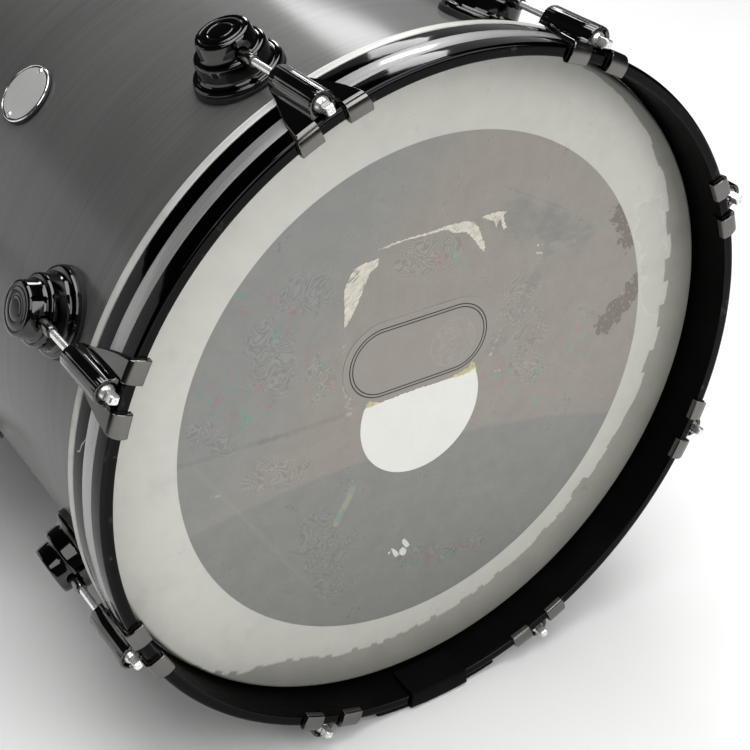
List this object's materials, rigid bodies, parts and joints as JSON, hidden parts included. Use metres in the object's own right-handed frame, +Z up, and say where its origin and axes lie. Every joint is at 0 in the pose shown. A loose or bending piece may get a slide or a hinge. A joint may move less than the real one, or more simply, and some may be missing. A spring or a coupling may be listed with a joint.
{
  "type": "bass drum",
  "caption": "Deep bass drum with a lacquered wood shell, two tensioned heads under wood hoops, claw hooks on threaded rods, turret lugs, a rubber pedal guard and folding spurs.",
  "frame": {"origin": "on the floor, under the middle of the drum", "axes": "+Z up; -Y is where the batter head and the pedal guard face; the drum's axis runs along Y, 0.2738 m above the floor"},
  "size_m": [0.6396, 0.5856, 0.5453],
  "materials": {
    "shell_lacquer": "satin graphite lacquer",
    "hoop_black": "gloss black lacquer with a silver-grey inlay",
    "head_film": "worn frosted polyester film, aluminium flesh hoop",
    "lug_black_nickel": "polished black nickel",
    "claw_black_nickel": "polished black nickel",
    "rod_chrome": "polished chrome",
    "guard_rubber": "matt black rubber",
    "badge_plate": "brushed silver plate",
    "spur_nickel": "black nickel with a rubber foot"
  },
  "bodies": {
    "drum": {"shell": "shell_lacquer", "batter_head": "head_film", "resonant_head": "head_film", "batter_hoop": "hoop_black", "resonant_hoop": "hoop_black", "pedal_guard": "guard_rubber", "badge": "badge_plate", "spur_bracket_left": "spur_nickel", "spur_bracket_right": "spur_nickel", "batter_lug_1": "lug_black_nickel", "batter_lug_2": "lug_black_nickel", "batter_lug_3": "lug_black_nickel", "batter_lug_4": "lug_black_nickel", "batter_lug_5": "lug_black_nickel", "batter_lug_6": "lug_black_nickel", "batter_lug_7": "lug_black_nickel", "batter_lug_8": "lug_black_nickel", "resonant_lug_1": "lug_black_nickel", "resonant_lug_2": "lug_black_nickel", "resonant_lug_3": "lug_black_nickel", "resonant_lug_4": "lug_black_nickel", "resonant_lug_5": "lug_black_nickel", "resonant_lug_6": "lug_black_nickel", "resonant_lug_7": "lug_black_nickel", "resonant_lug_8": "lug_black_nickel"},
    "batter_claw_1": {"batter_claw_1": "claw_black_nickel"},
    "batter_rod_1": {"batter_rod_1": "rod_chrome"},
    "batter_claw_2": {"batter_claw_2": "claw_black_nickel"},
    "batter_rod_2": {"batter_rod_2": "rod_chrome"},
    "batter_claw_3": {"batter_claw_3": "claw_black_nickel"},
    "batter_rod_3": {"batter_rod_3": "rod_chrome"},
    "batter_claw_4": {"batter_claw_4": "claw_black_nickel"},
    "batter_rod_4": {"batter_rod_4": "rod_chrome"},
    "batter_claw_5": {"batter_claw_5": "claw_black_nickel"},
    "batter_rod_5": {"batter_rod_5": "rod_chrome"},
    "batter_claw_6": {"batter_claw_6": "claw_black_nickel"},
    "batter_rod_6": {"batter_rod_6": "rod_chrome"},
    "batter_claw_7": {"batter_claw_7": "claw_black_nickel"},
    "batter_rod_7": {"batter_rod_7": "rod_chrome"},
    "batter_claw_8": {"batter_claw_8": "claw_black_nickel"},
    "batter_rod_8": {"batter_rod_8": "rod_chrome"},
    "resonant_claw_1": {"resonant_claw_1": "claw_black_nickel"},
    "resonant_rod_1": {"resonant_rod_1": "rod_chrome"},
    "resonant_claw_2": {"resonant_claw_2": "claw_black_nickel"},
    "resonant_rod_2": {"resonant_rod_2": "rod_chrome"},
    "resonant_claw_3": {"resonant_claw_3": "claw_black_nickel"},
    "resonant_rod_3": {"resonant_rod_3": "rod_chrome"},
    "resonant_claw_4": {"resonant_claw_4": "claw_black_nickel"},
    "resonant_rod_4": {"resonant_rod_4": "rod_chrome"},
    "resonant_claw_5": {"resonant_claw_5": "claw_black_nickel"},
    "resonant_rod_5": {"resonant_rod_5": "rod_chrome"},
    "resonant_claw_6": {"resonant_claw_6": "claw_black_nickel"},
    "resonant_rod_6": {"resonant_rod_6": "rod_chrome"},
    "resonant_claw_7": {"resonant_claw_7": "claw_black_nickel"},
    "resonant_rod_7": {"resonant_rod_7": "rod_chrome"},
    "resonant_claw_8": {"resonant_claw_8": "claw_black_nickel"},
    "resonant_rod_8": {"resonant_rod_8": "rod_chrome"},
    "spur_leg_right": {"spur_leg_right": "spur_nickel"},
    "spur_leg_left": {"spur_leg_left": "spur_nickel"}
  },
  "joints": [
    {"name": "batter_claw_1_slide", "type": "slide", "parent": "drum", "child": "batter_claw_1", "axis": [0, -1, 0], "range_m": [0, 0.01058]},
    {"name": "batter_rod_1_turn", "type": "hinge", "parent": "batter_claw_1", "child": "batter_rod_1", "pos_m": [0.1057, -0.2872, 0.52898], "axis": [0, -1, 0], "range_deg": [0, 3600]},
    {"name": "batter_claw_2_slide", "type": "slide", "parent": "drum", "child": "batter_claw_2", "axis": [0, -1, 0], "range_m": [0, 0.01058]},
    {"name": "batter_rod_2_turn", "type": "hinge", "parent": "batter_claw_2", "child": "batter_rod_2", "pos_m": [0.25518, -0.2872, 0.3795], "axis": [0, -1, 0], "range_deg": [0, 3600]},
    {"name": "batter_claw_3_slide", "type": "slide", "parent": "drum", "child": "batter_claw_3", "axis": [0, -1, 0], "range_m": [0, 0.01058]},
    {"name": "batter_rod_3_turn", "type": "hinge", "parent": "batter_claw_3", "child": "batter_rod_3", "pos_m": [0.25518, -0.2872, 0.1681], "axis": [0, -1, 0], "range_deg": [0, 3600]},
    {"name": "batter_claw_4_slide", "type": "slide", "parent": "drum", "child": "batter_claw_4", "axis": [0, -1, 0], "range_m": [0, 0.01058]},
    {"name": "batter_rod_4_turn", "type": "hinge", "parent": "batter_claw_4", "child": "batter_rod_4", "pos_m": [0.1057, -0.2872, 0.01862], "axis": [0, -1, 0], "range_deg": [0, 3600]},
    {"name": "batter_claw_5_slide", "type": "slide", "parent": "drum", "child": "batter_claw_5", "axis": [0, -1, 0], "range_m": [0, 0.01058]},
    {"name": "batter_rod_5_turn", "type": "hinge", "parent": "batter_claw_5", "child": "batter_rod_5", "pos_m": [-0.1057, -0.2872, 0.01862], "axis": [0, -1, 0], "range_deg": [0, 3600]},
    {"name": "batter_claw_6_slide", "type": "slide", "parent": "drum", "child": "batter_claw_6", "axis": [0, -1, 0], "range_m": [0, 0.01058]},
    {"name": "batter_rod_6_turn", "type": "hinge", "parent": "batter_claw_6", "child": "batter_rod_6", "pos_m": [-0.25518, -0.2872, 0.1681], "axis": [0, -1, 0], "range_deg": [0, 3600]},
    {"name": "batter_claw_7_slide", "type": "slide", "parent": "drum", "child": "batter_claw_7", "axis": [0, -1, 0], "range_m": [0, 0.01058]},
    {"name": "batter_rod_7_turn", "type": "hinge", "parent": "batter_claw_7", "child": "batter_rod_7", "pos_m": [-0.25518, -0.2872, 0.3795], "axis": [0, -1, 0], "range_deg": [0, 3600]},
    {"name": "batter_claw_8_slide", "type": "slide", "parent": "drum", "child": "batter_claw_8", "axis": [0, -1, 0], "range_m": [0, 0.01058]},
    {"name": "batter_rod_8_turn", "type": "hinge", "parent": "batter_claw_8", "child": "batter_rod_8", "pos_m": [-0.1057, -0.2872, 0.52898], "axis": [0, -1, 0], "range_deg": [0, 3600]},
    {"name": "resonant_claw_1_slide", "type": "slide", "parent": "drum", "child": "resonant_claw_1", "axis": [0, 1, 0], "range_m": [0, 0.01058]},
    {"name": "resonant_rod_1_turn", "type": "hinge", "parent": "resonant_claw_1", "child": "resonant_rod_1", "pos_m": [0.1057, 0.2872, 0.52898], "axis": [0, 1, 0], "range_deg": [0, 3600]},
    {"name": "resonant_claw_2_slide", "type": "slide", "parent": "drum", "child": "resonant_claw_2", "axis": [0, 1, 0], "range_m": [0, 0.01058]},
    {"name": "resonant_rod_2_turn", "type": "hinge", "parent": "resonant_claw_2", "child": "resonant_rod_2", "pos_m": [0.25518, 0.2872, 0.3795], "axis": [0, 1, 0], "range_deg": [0, 3600]},
    {"name": "resonant_claw_3_slide", "type": "slide", "parent": "drum", "child": "resonant_claw_3", "axis": [0, 1, 0], "range_m": [0, 0.01058]},
    {"name": "resonant_rod_3_turn", "type": "hinge", "parent": "resonant_claw_3", "child": "resonant_rod_3", "pos_m": [0.25518, 0.2872, 0.1681], "axis": [0, 1, 0], "range_deg": [0, 3600]},
    {"name": "resonant_claw_4_slide", "type": "slide", "parent": "drum", "child": "resonant_claw_4", "axis": [0, 1, 0], "range_m": [0, 0.01058]},
    {"name": "resonant_rod_4_turn", "type": "hinge", "parent": "resonant_claw_4", "child": "resonant_rod_4", "pos_m": [0.1057, 0.2872, 0.01862], "axis": [0, 1, 0], "range_deg": [0, 3600]},
    {"name": "resonant_claw_5_slide", "type": "slide", "parent": "drum", "child": "resonant_claw_5", "axis": [0, 1, 0], "range_m": [0, 0.01058]},
    {"name": "resonant_rod_5_turn", "type": "hinge", "parent": "resonant_claw_5", "child": "resonant_rod_5", "pos_m": [-0.1057, 0.2872, 0.01862], "axis": [0, 1, 0], "range_deg": [0, 3600]},
    {"name": "resonant_claw_6_slide", "type": "slide", "parent": "drum", "child": "resonant_claw_6", "axis": [0, 1, 0], "range_m": [0, 0.01058]},
    {"name": "resonant_rod_6_turn", "type": "hinge", "parent": "resonant_claw_6", "child": "resonant_rod_6", "pos_m": [-0.25518, 0.2872, 0.1681], "axis": [0, 1, 0], "range_deg": [0, 3600]},
    {"name": "resonant_claw_7_slide", "type": "slide", "parent": "drum", "child": "resonant_claw_7", "axis": [0, 1, 0], "range_m": [0, 0.01058]},
    {"name": "resonant_rod_7_turn", "type": "hinge", "parent": "resonant_claw_7", "child": "resonant_rod_7", "pos_m": [-0.25518, 0.2872, 0.3795], "axis": [0, 1, 0], "range_deg": [0, 3600]},
    {"name": "resonant_claw_8_slide", "type": "slide", "parent": "drum", "child": "resonant_claw_8", "axis": [0, 1, 0], "range_m": [0, 0.01058]},
    {"name": "resonant_rod_8_turn", "type": "hinge", "parent": "resonant_claw_8", "child": "resonant_rod_8", "pos_m": [-0.1057, 0.2872, 0.52898], "axis": [0, 1, 0], "range_deg": [0, 3600]},
    {"name": "spur_fold_right", "type": "hinge", "parent": "drum", "child": "spur_leg_right", "pos_m": [0.24941, 0.085, 0.1298], "axis": [-0.9063, 0, -0.4226], "range_deg": [0, 125]},
    {"name": "spur_fold_left", "type": "hinge", "parent": "drum", "child": "spur_leg_left", "pos_m": [-0.24941, 0.085, 0.1298], "axis": [-0.9063, 0, 0.4226], "range_deg": [0, 125]}
  ],
  "couplings": [
    {"joint": "batter_rod_1_turn", "follows": "batter_claw_1_slide", "rad_per_m": 5936.9},
    {"joint": "batter_rod_2_turn", "follows": "batter_claw_2_slide", "rad_per_m": 5936.9},
    {"joint": "batter_rod_3_turn", "follows": "batter_claw_3_slide", "rad_per_m": 5936.9},
    {"joint": "batter_rod_4_turn", "follows": "batter_claw_4_slide", "rad_per_m": 5936.9},
    {"joint": "batter_rod_5_turn", "follows": "batter_claw_5_slide", "rad_per_m": 5936.9},
    {"joint": "batter_rod_6_turn", "follows": "batter_claw_6_slide", "rad_per_m": 5936.9},
    {"joint": "batter_rod_7_turn", "follows": "batter_claw_7_slide", "rad_per_m": 5936.9},
    {"joint": "batter_rod_8_turn", "follows": "batter_claw_8_slide", "rad_per_m": 5936.9},
    {"joint": "resonant_rod_1_turn", "follows": "resonant_claw_1_slide", "rad_per_m": 5936.9},
    {"joint": "resonant_rod_2_turn", "follows": "resonant_claw_2_slide", "rad_per_m": 5936.9},
    {"joint": "resonant_rod_3_turn", "follows": "resonant_claw_3_slide", "rad_per_m": 5936.9},
    {"joint": "resonant_rod_4_turn", "follows": "resonant_claw_4_slide", "rad_per_m": 5936.9},
    {"joint": "resonant_rod_5_turn", "follows": "resonant_claw_5_slide", "rad_per_m": 5936.9},
    {"joint": "resonant_rod_6_turn", "follows": "resonant_claw_6_slide", "rad_per_m": 5936.9},
    {"joint": "resonant_rod_7_turn", "follows": "resonant_claw_7_slide", "rad_per_m": 5936.9},
    {"joint": "resonant_rod_8_turn", "follows": "resonant_claw_8_slide", "rad_per_m": 5936.9}
  ]
}
